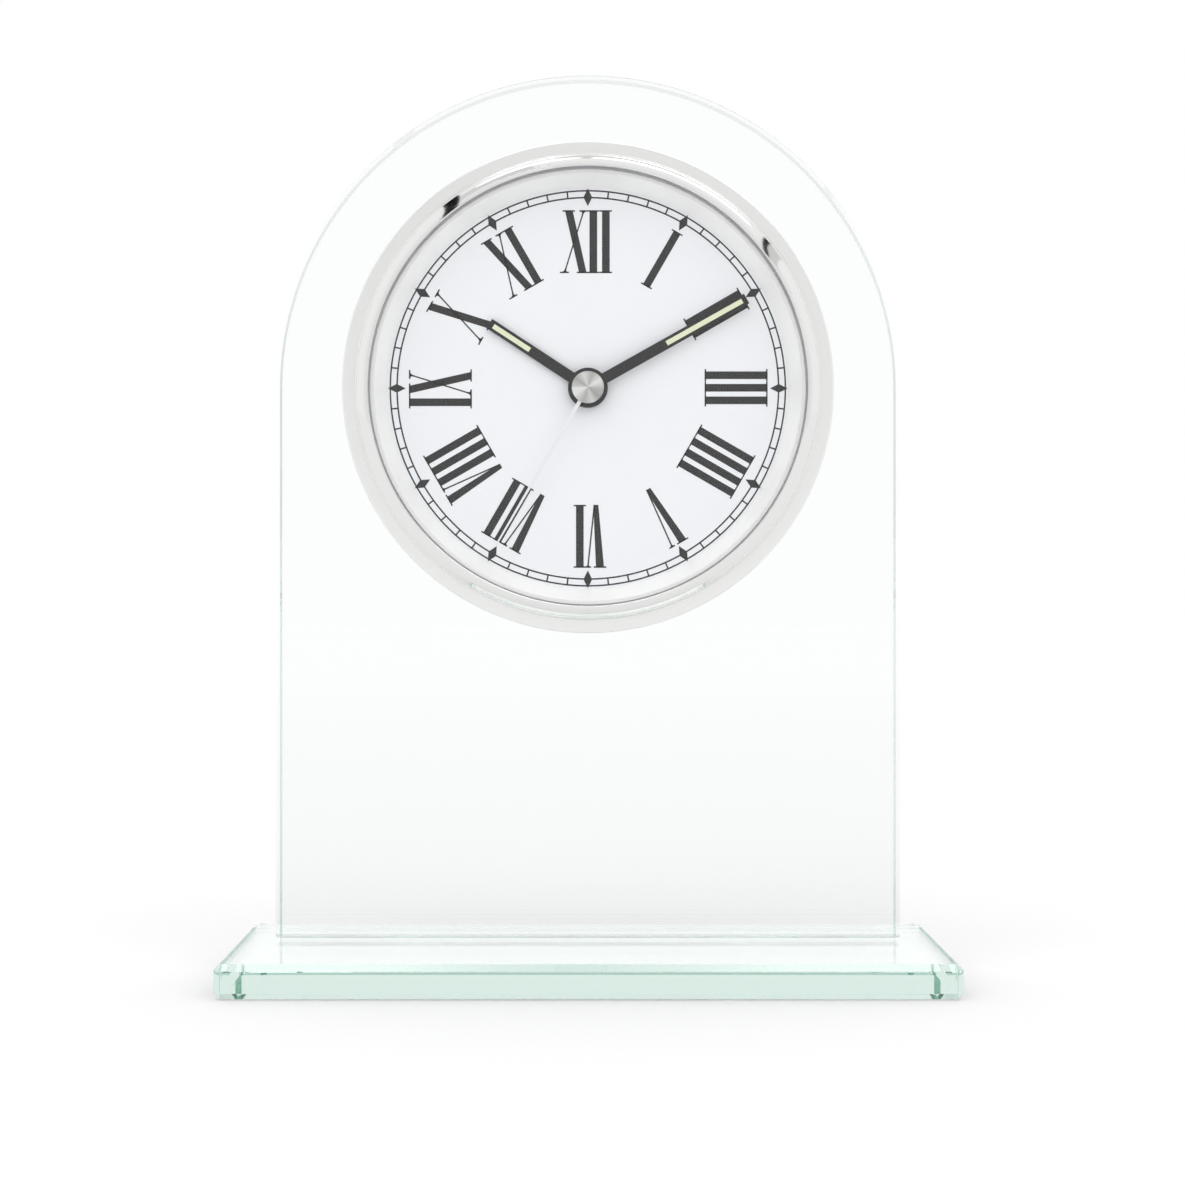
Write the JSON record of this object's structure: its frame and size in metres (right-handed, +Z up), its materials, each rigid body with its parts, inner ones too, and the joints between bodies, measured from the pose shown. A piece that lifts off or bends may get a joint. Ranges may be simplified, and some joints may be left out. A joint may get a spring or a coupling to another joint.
{
  "type": "mantel clock",
  "caption": "Arched clear glass mantel clock on a glass base, with a round quartz insert clock, Roman dial, polished bezel and rear setting knob.",
  "frame": {"origin": "centre of the base's underside, on the surface that the clock stands on", "axes": "+Z up, +X to the right as seen from the front, +Y to the back; the dial faces -Y"},
  "size_m": [0.128, 0.05, 0.164],
  "materials": {
    "stand_glass": "clear float glass, polished edges",
    "bond": "clear cured adhesive",
    "satin_metal": "satin anodised",
    "polished_metal": "polished plate",
    "lens_glass": "clear, flat",
    "dial_white": "matt white, printed",
    "white_plastic": "moulded, satin",
    "grip_rubber": "translucent rubber",
    "case_plastic": "moulded, fine texture",
    "knob_plastic": "moulded",
    "screw_steel": "zinc plated",
    "cell_jacket": "plain printed sleeve",
    "contact_nickel": "nickel plated",
    "core_steel": "stamped",
    "copper_wire": "enamelled copper",
    "board_green": "lacquered board",
    "crystal_can": "plated can",
    "magnet": "sintered",
    "gear_plastic": "acetal",
    "gear_brass": "stamped",
    "hand_black": "satin black",
    "hand_lume": "luminous filling",
    "second_white": "white",
    "cap_metal": "spun"
  },
  "bodies": {
    "clock_body": {"glass_base": "stand_glass", "glass_arch": "stand_glass", "bond_film": "bond", "bezel_flange": "satin_metal", "bezel_ring": "polished_metal", "lens": "lens_glass", "reflector_ring": "satin_metal", "dial": "dial_white", "rear_cup": "white_plastic", "grip_ring": "grip_rubber", "movement_front_plate": "case_plastic", "movement_back_case": "case_plastic", "movement_screws": "screw_steel", "battery_cell": "cell_jacket", "positive_contact": "contact_nickel", "negative_contact": "contact_nickel", "train_bridge": "case_plastic", "bridge_screws": "screw_steel", "stator": "core_steel", "coil_core": "core_steel", "coil_bobbin": "white_plastic", "coil_winding": "copper_wire", "circuit_board": "board_green", "control_chip": "case_plastic", "quartz_crystal": "crystal_can"},
    "seconds_hand_set": {"second_wheel": "gear_plastic", "second_hand": "second_white", "second_hand_cap": "cap_metal"},
    "rotor": {"rotor_magnet": "magnet", "rotor_pinion": "gear_plastic"},
    "intermediate_gear": {"intermediate_wheel": "gear_plastic"},
    "third_gear": {"third_wheel": "gear_plastic"},
    "centre_gear": {"centre_wheel": "gear_brass", "clutch_spring": "gear_brass"},
    "minute_hand_set": {"cannon_pinion": "gear_brass", "minute_hand": "hand_black", "minute_hand_lume": "hand_lume"},
    "hour_hand_set": {"hour_wheel": "gear_plastic", "hour_hand": "hand_black", "hour_hand_lume": "hand_lume"},
    "setting_gear": {"minute_wheel": "gear_plastic", "setting_knob": "knob_plastic"}
  },
  "joints": [
    {"name": "second_turn", "type": "hinge", "parent": "clock_body", "child": "seconds_hand_set", "pos_m": [0, 0.012, 0.1067], "axis": [0, 1, 0], "continuous": true},
    {"name": "rotor_turn", "type": "hinge", "parent": "clock_body", "child": "rotor", "pos_m": [-0.01177, 0.012, 0.11481], "axis": [0, 1, 0], "continuous": true},
    {"name": "intermediate_turn", "type": "hinge", "parent": "clock_body", "child": "intermediate_gear", "pos_m": [-0.0096, 0.012, 0.1067], "axis": [0, 1, 0], "continuous": true},
    {"name": "third_turn", "type": "hinge", "parent": "clock_body", "child": "third_gear", "pos_m": [0.0096, 0.012, 0.1067], "axis": [0, 1, 0], "continuous": true},
    {"name": "centre_turn", "type": "hinge", "parent": "clock_body", "child": "centre_gear", "pos_m": [0, 0.012, 0.1067], "axis": [0, 1, 0], "continuous": true},
    {"name": "minute_turn", "type": "hinge", "parent": "clock_body", "child": "minute_hand_set", "pos_m": [0, 0.012, 0.1067], "axis": [0, 1, 0], "continuous": true},
    {"name": "hour_turn", "type": "hinge", "parent": "clock_body", "child": "hour_hand_set", "pos_m": [0, 0.012, 0.1067], "axis": [0, 1, 0], "continuous": true},
    {"name": "setting_turn", "type": "hinge", "parent": "clock_body", "child": "setting_gear", "pos_m": [0, 0.012, 0.1167], "axis": [0, 1, 0], "continuous": true}
  ],
  "couplings": [
    {"joint": "rotor_turn", "follows": "second_turn", "ratio": 30},
    {"joint": "intermediate_turn", "follows": "second_turn", "ratio": -5},
    {"joint": "third_turn", "follows": "second_turn", "ratio": -0.13333},
    {"joint": "centre_turn", "follows": "second_turn", "ratio": 0.016667},
    {"joint": "hour_turn", "follows": "minute_turn", "ratio": 0.083333},
    {"joint": "setting_turn", "follows": "minute_turn", "ratio": -0.33333}
  ]
}
